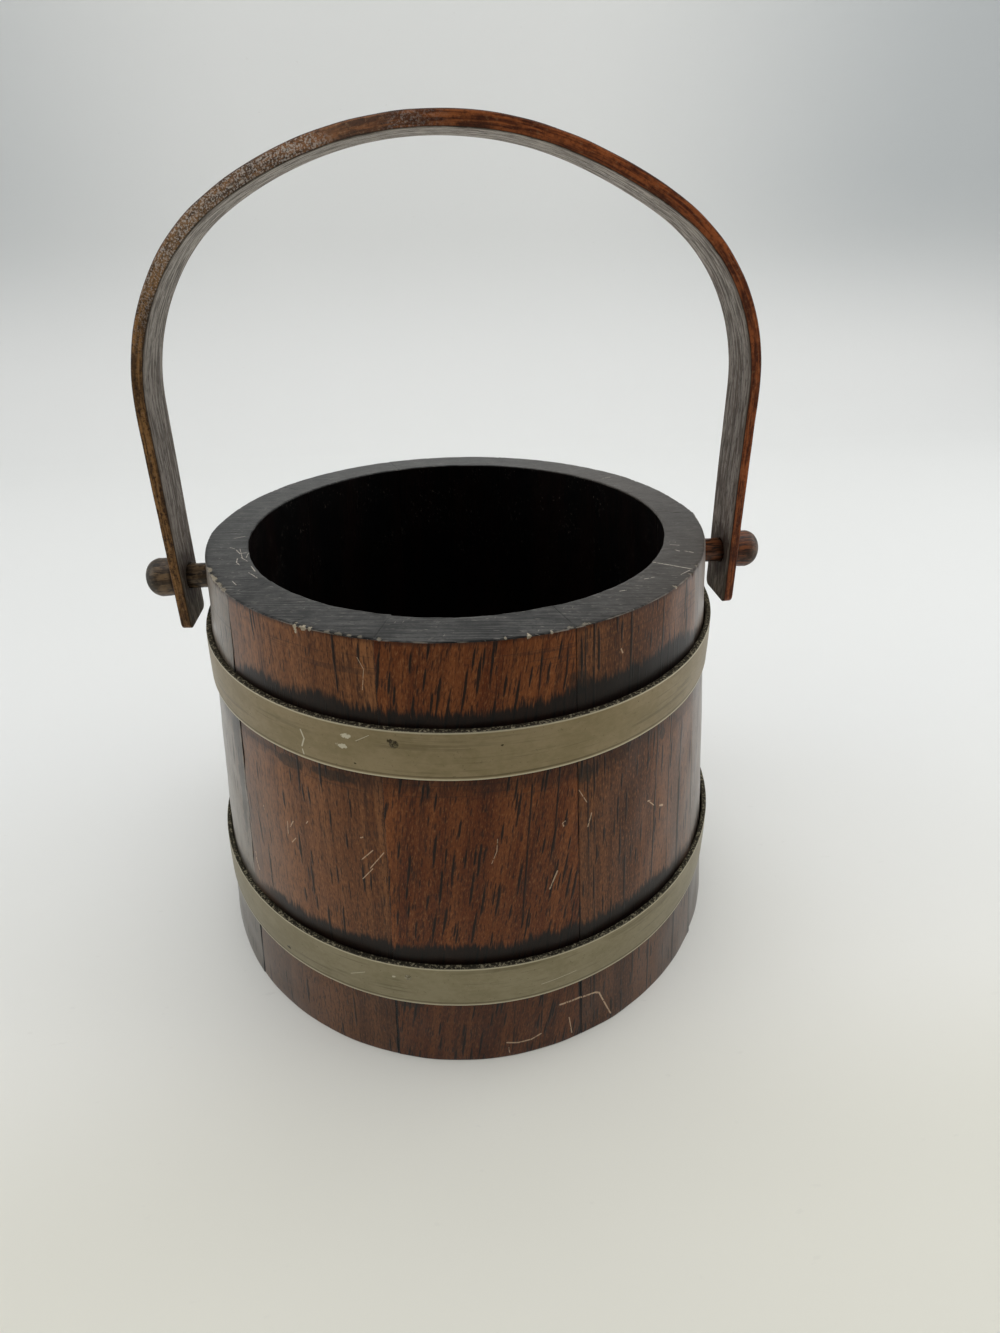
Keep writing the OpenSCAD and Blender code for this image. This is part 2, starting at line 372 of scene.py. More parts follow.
# light chips on the rim's outer edge: azimuth, half length round the rim and how far down
RIM_CHIPS = [
    (-31.7, 0.5, 2.1), (-29.9, 1.0, 1.0), (-28.3, 0.5, 0.8), (-24.6, 0.9, 0.35), (-22.4, 1.1, 0.3),
    (-20.2, 0.6, 0.35), (-18.2, 0.5, 0.3), (-14.6, 0.5, 0.3), (-66.0, 2.2, 0.6), (-61.5, 2.4, 0.7),
    (-57.5, 2.2, 0.5), (-54.6, 1.2, 0.5), (7.4, 0.3, 0.5), (11.6, 0.5, 0.9), (15.8, 0.3, 0.6),
    (19.4, 0.8, 0.3), (22.6, 1.4, 0.35), (47.2, 0.5, 0.6), (54.5, 0.6, 0.4), (59.0, 0.6, 0.35),
]

# fine light scratches on top of the rim: half width, then the places passed, across and along the bucket
RIM_HAIRS = [
    (0.26, (53.4, -38.9), (57.6, -41.5), (62.8, -44.9)), (0.24, (62.5, -30.8), (63.5, -32.0)),
    (0.26, (65.1, -32.2), (67.1, -33.5)), (0.16, (47.8, -49.7), (51.3, -48.6)),
    (0.18, (58.6, -48.0), (62.0, -45.5)), (0.15, (62.3, -26.7), (64.8, -27.7)),
    (0.2, (57.2, 40.4), (60.6, 41.5)), (0.2, (39.3, -56.2), (41.1, -55.8)),
    (0.2, (-67.3, -14.8), (-65.6, -17.9), (-63.9, -17.2)), (0.22, (-65.6, -21.6), (-65.3, -24.4), (-64.0, -26.3)),
    (0.16, (-64.7, -20.8), (-62.3, -23.9)), (0.18, (-70.4, -5.4), (-66.9, -3.7)),
    (0.18, (-60.4, -32.0), (-57.3, -36.0)), (0.2, (-60.5, -27.7), (-58.8, -31.3)),
    (0.16, (-63.2, -21.0), (-63.2, -17.3)), (0.16, (-69.6, -12.6), (-67.9, -13.8)),
    (0.14, (-66.4, -14.0), (-64.1, -21.8)), (0.14, (-63.7, -37.4), (-62.2, -39.9)),
]


def stave_angle(number):
    return (number - 0.5) * PITCH


def round_from(number, azimuth):
    """How far round from a stave's middle an azimuth lies, in radians, or None off the stave."""
    off = (FRONT + math.radians(azimuth) - stave_angle(number) + math.pi) % math.tau - math.pi
    return off if abs(off) < PITCH * 0.7 else None


def on_stave(number, azimuth, height):
    """A place on the outside as the stave's own across, depth and height."""
    off = round_from(number, azimuth)
    return None if off is None else (off * wall(height), 0.0, height)


def stave_finish(number):
    """Stained and rubbed open-pored wood: growth bands, fine stipple and fibre and near-black
    pore dashes that follow the board, a painted grey sheen towards both sides, a charred band
    above each hoop, a painted shadow line under each hoop, black dirt at the joints, a blackened
    rim with sanding lines, and pale scratches and chips."""
    look = STAVE_LOOKS[number]
    material, tree = new_finish("stave_wood_%d" % number)
    board, side, joint = named(tree, "board"), named(tree, "side"), named(tree, "joint", out=2)
    spot = place(tree)
    across, depth, up = parts(board)
    outer, rim, inner = parts(side)
    seed = number * 1.7
    # the outside without its depth, so that marks also reach the parts of the face that lie low
    skin = together(tree, across, 0.0, up)
    # the third colour is the near-black of the char, the joint dirt and the painted shadow line under each hoop
    light, dark, soot_and_shadow = colour(*look["light"]), colour(*look["dark"]), colour(14, 12, 12)

    bow = cloud(board, (30, 30, 60), seed) * 3.0
    along = across - up * look["lean"] + bow
    grain = together(tree, along, depth, up)
    tone = cloud(grain, (15, 20, 100), seed + 1, 2)
    bands = cloud(grain, (3.0, 6, 150), seed + 2, 3, 0.6)
    fibre = cloud(grain, (0.5, 0.9, 9), seed + 3, 3, 0.6)
    stipple = cloud(grain, (0.42, 0.6, 1.5), seed + 4, 2, 0.6)
    base = tint(ramp(tone * 0.5 + bands * 0.5, 0.38, 0.62), dark, light)
    base = tint(ramp(stipple, 0.49, 0.34) * 0.55, base, colour(40, 20, 9))
    base = tint(ramp(fibre, 0.48, 0.34) * 0.6, base, colour(36, 19, 10))
    base = tint(ramp(stipple, 0.54, 0.70) * 0.4, base, colour(160, 108, 66))
    # painted sheen: greyer towards both sides, where the wood is seen at a glance
    to_right = parts(spot)[0]
    aside = to_right.math("ABSOLUTE", to_right)
    base = tint(ramp(aside, 46, 80) * (0.2 + fibre * 0.5), base, colour(126, 118, 108))

    ragged = cloud(grain, (0.7, 1, 3), seed + 5, 2) * 0.16 - 0.08
    patch = cloud(grain, (7, 9, 30), seed + 6, 1) * 0.5 - 0.25
    open_pores = [spindles(tree, along, up, cell, thick, patch + (least + most * look["pores"]), ragged, seed + shift_by)
                  for cell, thick, least, most, shift_by in (((2.7, 44), 0.135, 0.12, 0.62, 1), ((2.2, 22), 0.135, 0.1, 0.5, 4),
                                                             ((1.3, 8), 0.155, 0.25, 0.35, 7))]
    lines = ramp(cloud(grain, (1.9, 5, 240), seed + 8, 1), 0.66, 0.70) * look["lines"]
    grown = [stroke(skin, [on_stave(number, high, BODY_H), on_stave(number, low, 0)], width)
             for stave, width, high, low in GROWTH_LINES if stave == number]
    if grown:
        lines = largest([lines, largest(grown) * ramp(cloud(grain, (0.9, 3, 9), seed + 7, 2), 0.30, 0.42)])
    pores = largest([open_pores[0], open_pores[1], open_pores[2] * 0.7,
                     lines * ramp(cloud(grain, (2, 3, 16), seed + 9), 0.34, 0.5)])
    base = tint(pores * 0.92, base, colour(17, 8, 3))
    saw = ramp(cloud(board, (30, 30, 0.7), seed + 16, 1), 0.60, 0.66)
    saw = saw * largest([ramp(up, low - 1, low) * ramp(up, high + 1, high) for low, high in ((99, 103), (133, 139))])
    base = tint(saw * 0.35, base, colour(44, 30, 22))

    # darker below the lower hoop and just under the upper one
    low = ramp(up, LOWER_TOP - 8, LOWER_TOP - 20)
    under = ramp(up + cloud(board, (10, 10, 5), seed + 10, 2) * 8, 101, 108) * ramp(up, 108, 106)
    base = tint(low * 0.42, base, colour(24, 16, 12))
    base = tint(under * 0.45, base, colour(24, 14, 12))
    smear = cloud(board, (1.6, 2, 3), seed + 17, 3, 0.6) * 1.4 - 0.7
    stains = [blotch(board, on_stave(number, azimuth, height), (half, 9, tall), smear)
              for azimuth, height, half, tall in STAINS if round_from(number, azimuth) is not None]
    if stains:
        base = tint(largest(stains) * 0.6, base, colour(26, 22, 16))

    ragged = cloud(board, (0.8, 2, 14), seed + 11, 3, 0.65) * 9 + cloud(board, (12, 12, 10), seed + 12, 2) * 6 - 2
    # at the far sides the char reaches less high and is weaker, which partly paints the sheen seen there
    sideways = ramp(to_right, 4, 34) * 1.2 + ramp(to_right, -20, -60) * 0.5 - ramp(aside, 56, 74) * 2.4
    char = largest([ramp(up - ragged - sideways * more, top + reach - 4.4, top + reach - 7.2) * ramp(up, top - 9, top - 8)
                    for top, reach, more in ((UPPER_TOP, 4.4, 3.0), (LOWER_TOP, 6.2, 0.8))])
    base = tint(char * (0.95 - ramp(aside, 60, 76) * 0.35), base, soot_and_shadow)
    # painted shadow: a dark line just under the lower edge of each hoop
    hoop_shadow = largest([ramp(up, edge - 1.6, edge - 0.2) * ramp(up, edge + 2, edge + 0.5)
                    for edge in (UPPER_TOP - UPPER_W, LOWER_TOP - LOWER_W)])
    base = tint(hoop_shadow * 0.8, base, soot_and_shadow)
    foot = ramp(up, 30, 25)
    dirt = ramp(joint + cloud(board, (2, 2, 7), seed + 13, 2) * 0.9 - foot * 0.4, 0.68, 0.45)
    dirt = dirt * (0.35 + ramp(cloud(board, (6, 6, 14), seed + 18), 0.44, 0.6) * 0.5 + foot * 0.5
                   + ramp(to_right, -44, -58) * 0.4)
    base = tint(dirt, base, soot_and_shadow)
    base = tint(ramp(up, 141.2, 142.6) * outer * 0.6, base, colour(40, 18, 10))

    hollow = ramp(inner, 0.3, 0.8)
    dust = ramp(cloud(board, (0.9, 0.9, 1.4), seed + 20, 3, 0.7), 0.60, 0.70) * ramp(cloud(board, (14, 14, 14), seed + 21), 0.46, 0.62)
    base = tint(hollow, base, tint(ramp(fibre * 0.5 + tone * 0.5, 0.45, 0.6), colour(4, 3, 3), colour(19, 8, 6)))
    base = tint(hollow * dust * ramp(up, 70, 130) * 0.6, base, colour(104, 98, 90))

    # blackened rim: parallel sanding lines, small pale scuffs and a worn outer edge
    sanded = tree.node("Mapping", None, {"Vector": spot, "Rotation": (0, 0, math.radians(6))})
    sanding = cloud(sanded, (16, 0.6, 5), 3.0, 3, 0.65)
    patchy = cloud(spot, (7, 7, 7), 5.0, 3, 0.65)
    black = tint(ramp(sanding * 0.7 + patchy * 0.3, 0.43, 0.57), colour(18, 18, 18), colour(66, 65, 63))
    gritty = cloud(spot, (0.8, 0.8, 0.8), 8.0, 3, 0.7)
    cracks = ramp(cloud(sanded, (12, 0.8, 5), 9.0, 3, 0.6), 0.43, 0.36)
    black = tint(cracks * 0.65, black, colour(12, 11, 11))
    black = tint(ramp(cloud(sanded, (5, 0.7, 5), 10.0, 3, 0.6), 0.60, 0.68) * ramp(to_right, -20, 60) * 0.5, black, colour(112, 104, 94))
    black = tint(ramp(gritty, 0.50, 0.36) * 0.5, black, colour(12, 12, 12))
    black = tint(ramp(to_right, 10, 75) * 0.45, black, colour(76, 66, 57))
    scuffs = ramp(cloud(sanded, (3.0, 0.5, 1), 7.0, 3, 0.6), 0.64, 0.70)
    black = tint(scuffs * 0.6, black, colour(140, 136, 128))
    hairs = [spindles(tree, *parts(tree.node("Mapping", None, {"Vector": spot, "Rotation": (0, 0, math.radians(lean))}))[:2],
                      (1.7, 9), 0.055, 0.34, gritty * 0.06 - 0.03, lean * 0.1) for lean in (24, 71, 118)]
    black = tint(largest(hairs) * ramp(patchy, 0.46, 0.60) * 0.55, black, colour(150, 144, 134))
    flat_spot = together(tree, *parts(spot)[:2], 0.0)
    scored = [stroke(flat_spot, [(*point, 0.0) for point in points], width) for width, *points in RIM_HAIRS
              if abs((math.atan2(points[0][1], points[0][0]) - stave_angle(number) + math.pi) % math.tau - math.pi) < PITCH * 0.6]
    if scored:
        black = tint(largest(scored) * ramp(gritty, 0.36, 0.46) * 0.9, black, colour(186, 178, 164))
    worn_edge = ramp(outer * rim * 2.0, 0.55, 0.95) * ramp(cloud(board, (7, 7, 7), seed + 19, 2), 0.46, 0.6)
    on_rim = ramp(rim + (patchy - 0.5) * 0.4, 0.30, 0.62)
    base = tint(on_rim, base, black)
    base = tint(worn_edge * 0.45, base, colour(150, 140, 126))

    marks = [stroke(skin, [on_stave(number, *point) for point in points], width)
             for width, *points in WALL_SCRATCHES
             if all(round_from(number, azimuth) is not None for azimuth, height in points)]
    broken = ramp(cloud(board, (0.5, 1, 0.9), seed + 14, 2), 0.30, 0.46)
    chip_edge = cloud(board, (0.7, 0.7, 0.7), seed + 15, 3, 0.7) * 2.4 - 1.2
    chips = [blotch(board, (round_from(number, azimuth) * RIM_R, 0.2, BODY_H - down * 0.5),
                    (half, 1.3, down * 0.6), chip_edge) * min(1.0, down * 0.9)
             for azimuth, half, down in RIM_CHIPS if round_from(number, azimuth) is not None]
    worn = largest(marks) * broken if marks else hollow * 0.0
    base = tint(worn * 0.75, base, colour(214, 184, 152))
    if chips:
        base = tint(largest(chips) * 0.9, base, colour(188, 176, 152))

    rough = 0.34 + fibre * 0.12 + char * 0.06 + dirt * 0.2 + hollow * 0.2 + on_rim * (0.06 + scuffs * 0.1)
    relief = fibre * 0.03 + stipple * 0.03 - pores * 0.09
    relief = relief + on_rim * (sanding * 0.07 + patchy * 0.05 + gritty * 0.05 - cracks * 0.06 + scuffs * 0.03 - relief)
    finish_off(tree, base, rough, relief - worn * 0.05, level=0.08, coat=1.0)
    return material


def hoop_finish(name, warm, radius, dark, light, scratches, spots):
    """Aged olive-grey metal: fine brushing round the band, soft clouding, a painted highlight along
    the lower and upper edges of the face with a fine line above the lower one, a gritty dark top
    edge, and its own scratches and spots."""
    material, tree = new_finish(name)
    spot = place(tree)
    level, face, tilt = parts(named(tree, "strip"))
    x, y, z = parts(spot)
    brushed = together(tree, x * 0.02, y * 0.02, level * 9.0)
    lines = cloud(brushed, (1, 1, 1), warm, 4, 0.65)
    cloudy = cloud(spot, (16, 16, 9), 2.0 + warm, 3, 0.6)
    fine = cloud(spot, (2.2, 2.2, 1.4), 3.0 + warm, 3, 0.6)
    base = tint(ramp(cloudy * 0.6 + fine * 0.4, 0.34, 0.66), colour(*dark), colour(*light))
    dark_lines = ramp(lines, 0.47, 0.36) * ramp(cloud(spot, (22, 22, 22), 4.0 + warm), 0.42, 0.6)
    base = tint(dark_lines * 0.4, base, colour(84, 74, 54))
    specks = ramp(cloud(spot, (0.6, 0.6, 0.5), 5.0, 2), 0.69, 0.73)
    base = tint(specks * 0.5, base, colour(66, 58, 42))
    fine_line = ramp(level, 0.055, 0.07) * ramp(level, 0.1, 0.085)
    base = tint(fine_line * 0.5, base, colour(70, 62, 46))
    # painted highlight along the lower and upper edges of the face
    edge_highlight = largest([ramp(level, 0.05, 0.03), ramp(level, 0.945, 0.965)]) * face
    base = tint(edge_highlight * 0.75, base, colour(200, 192, 168))
    grain = cloud(spot, (0.7, 0.7, 0.7), 6.0, 3, 0.7)
    grit = ramp(tilt + grain * 0.9, 0.75, 1.05)
    base = tint(grit * 0.9, base, tint(ramp(grain, 0.51, 0.62), colour(22, 20, 17), colour(150, 142, 120)))
    edge = cloud(spot, (0.8, 0.8, 0.8), 7.0, 3, 0.7) * 2.4 - 1.2
    # the face laid out flat: how far round it, and how high
    skin = together(tree, y.math("ARCTAN2", y, x) * radius, 0.0, z)

    def on_band(azimuth, height):
        return ((FRONT + math.radians(azimuth)) * radius, 0.0, height)

    pale = [stroke(skin, [on_band(*p) for p in points], width) for width, *points in scratches]
    pale += [blotch(skin, on_band(*where), (half, 1, tall), edge) for where, half, tall, kind in spots if kind == "pale"]
    dents = [blotch(skin, on_band(*where), (half, 1, tall), edge) for where, half, tall, kind in spots if kind == "dark"]
    base = tint(largest(pale) * 0.8, base, colour(206, 200, 182))
    base = tint(largest(dents) * 0.85, base, colour(40, 34, 22))
    rough = 0.38 + lines * 0.12 + grit * 0.3 + specks * 0.1
    height = lines * 0.012 + cloudy * 0.05 - specks * 0.02 + grit * grain * 0.15
    finish_off(tree, base, rough, height, metal=0.9)
    return material


def peg_finish(name, light, dark, seed):
    """Turned wood: dark pores along the peg, soiled patches, a greyed domed end, and soot and
    painted shade where the head meets the bail and where the shank enters it."""
    material, tree = new_finish(name)
    board = named(tree, "board")
    worn, soot_and_shadow, shank = parts(named(tree, "surface_marks"))
    fibre = cloud(board, (9, 0.4, 0.5), seed, 3, 0.6)
    bands = cloud(board, (40, 1.6, 1.6), seed + 1, 2)
    soil = cloud(board, (4, 2.5, 2.5), seed + 2, 3, 0.6)
    base = tint(ramp(bands * 0.5 + fibre * 0.5, 0.38, 0.6), colour(*dark), colour(*light))
    pores = ramp(cloud(board, (5, 0.45, 0.5), seed + 3, 1.5), 0.58, 0.64)
    base = tint(pores * 0.8, base, colour(24, 16, 11))
    base = tint(ramp(soil, 0.46, 0.64) * 0.7, base, colour(34, 26, 20))
    base = tint(worn * 0.8, base, tint(ramp(soil, 0.4, 0.6), colour(92, 90, 82), colour(50, 48, 42)))
    # soot and painted shade where the peg meets the bail
    base = tint(soot_and_shadow * 0.9, base, colour(16, 11, 8))
    finish_off(tree, base, 0.34 + fibre * 0.16 + worn * 0.15 - shank * 0.2, fibre * 0.05 - pores * 0.06 + soil * 0.05, level=0.3)
    return material


def bail_finish():
    """Bent strip: a greyed, flecked inner face, stained gritty edges that go from reddish brown
    at the right-hand foot to olive brown at the left, a painted glare broken into flecks on the
    edges towards the left shoulder, dark arrises, and a stained outer face."""
    material, tree = new_finish("bail_wood")
    board = named(tree, "board")
    greyed, arris, rubbed = parts(named(tree, "surface_marks"))
    along = parts(board)[0]
    to_left = ramp(along, BAIL_RUN * 0.42, BAIL_RUN * 0.72)
    shoulder = ramp(along, BAIL_RUN * 0.49, BAIL_RUN * 0.57) * ramp(along, BAIL_RUN * 0.80, BAIL_RUN * 0.68)
    off_middle = along - BAIL_RUN / 2
    crown = ramp(off_middle.math("ABSOLUTE", off_middle), BAIL_RUN * 0.34, BAIL_RUN * 0.14)
    fibre = cloud(board, (12, 0.7, 0.7), 8.0, 3, 0.65)
    grit = cloud(board, (1.2, 0.9, 0.9), 9.0, 3, 0.7)
    soil = cloud(board, (8, 3, 3), 10.0, 3, 0.6)
    light = tint(to_left, colour(166, 90, 46), colour(156, 113, 66))
    dark = tint(to_left, colour(90, 42, 20), colour(88, 61, 33))
    base = tint(ramp(fibre * 0.65 + soil * 0.35, 0.42, 0.58), dark, light)
    base = tint(ramp(grit, 0.48, 0.38) * (0.4 + to_left * 0.3), base, colour(32, 19, 11))
    # light grit flecks, made stronger along the shoulder stretch as part of the painted glare there
    base = tint(ramp(grit, 0.55, 0.66) * (0.15 + to_left * 0.1 + shoulder * 0.3), base, colour(186, 150, 112))
    # painted glare: a whitish tint broken into flecks along the shoulder stretch
    glare_flecks = ramp(cloud(board, (0.55, 0.4, 0.45), 13.0, 2, 0.7), 0.48, 0.60) * ramp(cloud(board, (24, 24, 24), 14.0), 0.30, 0.50)
    base = tint(shoulder * (0.06 + glare_flecks * 0.6), base, colour(236, 228, 221))
    outside = ramp(parts(board)[2], BAIL_T / 2 - 0.5, BAIL_T / 2 - 0.1)
    smooth = tint(ramp(fibre * 0.7 + soil * 0.3, 0.40, 0.60), colour(62, 34, 20), colour(108, 68, 42))
    base = tint(outside * 0.8, base, smooth)
    streaks = cloud(board, (9, 1.1, 0.8), 11.0, 4, 0.7)
    flecks = ramp(cloud(board, (3.0, 0.75, 0.7), 12.0, 3, 0.65), 0.54, 0.62)
    grey = tint(ramp(streaks, 0.40, 0.60), tint(crown, colour(88, 80, 72), colour(114, 105, 95)),
                tint(crown, colour(146, 139, 130), colour(206, 197, 185)))
    grey = tint(flecks * 0.65, grey, colour(52, 45, 38))
    soiled = largest([blotch(board, (at, 0.0, -BAIL_T / 2), (8.5, 6.5, 6.0), soil * 1.4 - 0.7)
                      for at in (HOLE_AT, BAIL_RUN - HOLE_AT)])
    grey = tint(soiled * 0.6, grey, colour(46, 29, 18))
    base = tint(greyed * 0.95, base, grey)
    base = tint(rubbed * 0.5, base, colour(128, 116, 102))
    base = tint(arris * 0.85, base, colour(22, 12, 8))
    rough = 0.42 + fibre * 0.15 + greyed * 0.15
    finish_off(tree, base, rough, fibre * 0.04 + grit * 0.06 + streaks * 0.04, level=0.2)
    return material


def floor_wood_finish():
    """Dull dark board with fine grain along X."""
    material, tree = new_finish("floor_wood")
    board = named(tree, "board")
    fibre = cloud(board, (22, 0.9, 3), 1.0, 3, 0.6)
    bands = cloud(board, (90, 5, 9), 2.0, 2)
    base = tint(ramp(fibre * 0.6 + bands * 0.4, 0.4, 0.6), colour(12, 8, 6), colour(40, 25, 17))
    base = tint(ramp(cloud(board, (9, 0.5, 2), 3.0, 2), 0.60, 0.66) * 0.8, base, colour(6, 4, 3))
    finish_off(tree, base, 0.62 + fibre * 0.2, fibre * 0.08, level=0.12)
    return material


# ---------------------------------------------------------------- the pieces

# how far each stave sits out of line at its two joints, outwards positive
SET_OUT = {1: (0.6, 0.1), 2: (0.1, -0.2), 3: (-0.1, 0.1), 4: (0.15, -0.1), 5: (-0.15, 0.1),
           6: (0.1, 0.1), 7: (0.0, -0.3), 8: (0.1, -0.2), 9: (-0.1, 0.4), 10: (0.0, 0.7)}
JOINT_ROUND, JOINT_GAP = 0.17, 0.01
# how much flatter than a true circle each stave is, in the middle
FLAT = 0.35


def stave_mesh(number):
    """The section through the stave's thickness and height, carried round the bucket from one
    joint to the other. Near each joint the section shrinks along a quarter circle, which rounds
    the stave's long edges. Chips sink the rim's outer edge, and a faint ripple moves the faces."""
    inner_low, inner_high = wall(0) - STAVE_T, wall(BODY_H - 3) - STAVE_T
    loop = rounded_path(
        [(wall(0), 0), (wall(BODY_H - 5), BODY_H - 5), (RIM_R, BODY_H), (RIM_R - 3, BODY_H),
         (RIM_R - STAVE_T, BODY_H), (inner_high, BODY_H - 3), (wall(BOARD_TOP) - STAVE_T, BOARD_TOP),
         (GROOVE_R, BOARD_TOP), (GROOVE_R, BOARD_LOW), (wall(BOARD_LOW) - STAVE_T, BOARD_LOW), (inner_low, 0)],
        [0.35, 0, 0.55, 0, 0.5, 0, 0.3, 0.2, 0.2, 0.3, 0.6],
        [1.6, 0.35, 0.35, 0.8, 0.6, 3.0, 1.5, 2, 1.5, 1.5, 2], closed=True)
    tangent = np.roll(loop, -1, 0) - np.roll(loop, 1, 0)
    tangent /= np.linalg.norm(tangent, axis=1, keepdims=True)
    normal = np.stack([tangent[:, 1], -tangent[:, 0]], -1)
    turn = np.radians(np.linspace(0, 90, 5))
    inward, back = JOINT_ROUND * (1 - np.cos(turn)), JOINT_ROUND * (1 - np.sin(turn))
    middle = np.linspace(-1, 1, 100)[1:-1]
    share = np.concatenate([-np.ones(5), middle, np.ones(5)])
    sink = np.concatenate([inward[::-1], 0 * middle, inward])
    away = np.concatenate([back[::-1], JOINT_ROUND + 0 * middle, back])

    # the joints are rounded less on the rim, where the staves were levelled off together
    level = 1 - 0.6 * np.clip(normal[:, 1:], 0, 1)
    r = loop[:, :1] - sink * level * normal[:, :1]
    z = loop[:, 1:] - sink * level * normal[:, 1:]
    off = share * (PITCH / 2 - (JOINT_GAP + away * level) / r)
    side = np.clip(np.stack([normal[:, 0], normal[:, 1], -normal[:, 0]], -1), 0, 1)
    across = off * wall(z)
    joint = PITCH / 2 * r - np.abs(off) * r

    out_of_line = np.interp(share, (-1, 1), SET_OUT[number])
    flat = FLAT * np.clip(z / 30, 0.1, 1)
    swell = side[:, :1] * (0.10 * ripple(across, z, number, 70, 12) - flat * (1 - share ** 2) + out_of_line)
    swell += side[:, 1:2] * 0.03 * ripple(across, r, number + 20, 20, 3)
    swell += side[:, 2:] * (0.12 * ripple(across, z, number + 40, 60, 8) - out_of_line)
    edge = np.hypot(r - RIM_R, z - BODY_H)
    nick = 0.25 * ripple(across, z, number + 60, 4, 0.8)
    for azimuth, half, down in RIM_CHIPS:
        off_middle = round_from(number, azimuth)
        if off_middle is not None:
            near = np.exp(-((across - off_middle * RIM_R) / half) ** 2 - (edge / (down + 0.3)) ** 2)
            swell -= near * (0.34 + nick)
    wear = np.exp(-(edge / 0.8) ** 2) * np.clip(ripple(across, z * 0, number + 80, 14, 1.2) - 0.5, 0, 2)
    swell -= 0.12 * wear
    r = r + swell * normal[:, :1]
    z = np.maximum(z + swell * normal[:, 1:], 0)
    z = np.minimum(z, BODY_H)
    angle = stave_angle(number) + off
    points = np.stack([r * np.cos(angle), r * np.sin(angle), z], -1)
    rows, cols = r.shape
    quads = grid_quads(rows, cols, close_rows=True)
    first, last = np.arange(rows) * cols, np.arange(rows) * cols + cols - 1
    board = np.stack([across, wall(z) - r, z], -1).reshape(-1, 3)
    sides = np.broadcast_to(side[:, None], (rows, cols, 3)).reshape(-1, 3)
    return make_mesh("stave_board_%d" % number, points.reshape(-1, 3), quads[:, ::-1],
                     [first, last[::-1]],
                     {"board": board, "side": sides, "joint": joint.ravel()})


for number in range(1, STAVES + 1):
    add_piece("stave_board_%d" % number, stave_mesh(number), stave_finish(number),
              "bucket", "stave_wood", "stave_%d" % number)


def lathe(profile, steps, place_at):
    """A profile of (length, radius) points turned about an axis; both ends close with a cap."""
    angle = np.arange(steps) / steps * math.tau
    length, radius = profile[:, :1], profile[:, 1:]
    u, v = radius * np.cos(angle), radius * np.sin(angle)
    along = length + 0 * angle
    points = place_at(along, u, v)
    rows = len(profile)
    quads = grid_quads(rows, steps, close_cols=True)
    caps = [np.arange(steps), (np.arange(steps) + (rows - 1) * steps)[::-1]]
    return points.reshape(-1, 3), quads, caps, along, u, v


def board_mesh():
    """A disc: its rounded half section turned about the bucket's axis."""
    profile = rounded_path([(BOARD_LOW, 0.5), (BOARD_LOW, BOARD_R), (BOARD_TOP, BOARD_R), (BOARD_TOP, 0.5)],
                           [0, 0.4, 0.4, 0], [2.0, 2.0, 2.0])
    points, quads, caps, along, u, v = lathe(profile, 160, lambda a, b, c: np.stack([b, c, a], -1))
    return make_mesh("floor_board", points, quads[:, ::-1], [c[::-1] for c in caps],
                     {"board": np.stack([u, v, along], -1).reshape(-1, 3)})


add_piece("floor_board", board_mesh(), floor_wood_finish(),
          "bucket", "board_wood", "bottom_board")


def hoop_mesh(name, top, width, gap, off_centre, seed):
    """The band's thin rounded section, leaning out with its gap at the top and a little bowed,
    carried round the bucket, with a slow wobble in height and in how far it stands off. It is
    worn thinner at its lower edge at both sides, and its top edge sits off centre towards +X."""
    low_r, high_r = wall(top - width) - DRIVE_FIT, wall(top) + gap
    section = rounded_path(
        [(low_r, top - width), (low_r + HOOP_T, top - width), (high_r + HOOP_T, top), (high_r, top)],
        [0.3, 0.2, 0.45, 0.35], [0.5, 0.5, 0.5, 0.8], closed=True, steps=5)
    steps = 720
    angle = np.arange(steps) / steps * math.tau
    z_at = section[:, 1:]
    share = (z_at - (top - width)) / width
    wobble = ring_ripple(angle, seed, 2, 7) * 0.12 * share
    wave = ring_ripple(angle, seed + 1, 3, 14) * 0.09
    dents = ring_ripple(angle, seed + 2, 30, 90) * 0.012
    r = section[:, :1] + wobble + dents + 0.12 * np.sin(share * math.pi) - 0.12
    r = r + off_centre * share * np.cos(angle)
    r = r - LOW_WEAR * (1 - share) * np.abs(np.cos(angle)) * np.clip((r - wall(z_at)) / HOOP_T, 0, 1)
    z = section[:, 1:] + wave * (1 - 0.5 * share)
    z = np.broadcast_to(z, r.shape)
    points = np.stack([r * np.cos(angle), r * np.sin(angle), z], -1).reshape(-1, 3)
    tangent = np.roll(section, -1, 0) - np.roll(section, 1, 0)
    tangent /= np.linalg.norm(tangent, axis=1, keepdims=True)
    out_face, tilt = np.clip(tangent[:, 1:], 0, 1), -tangent[:, :1]
    fields = np.stack([share + 0 * angle, out_face + 0 * angle, tilt + 0 * angle], -1)
    quads = grid_quads(len(section), steps, close_rows=True, close_cols=True)
    return make_mesh(name, points, quads[:, ::-1], (), {"strip": fields.reshape(-1, 3)})


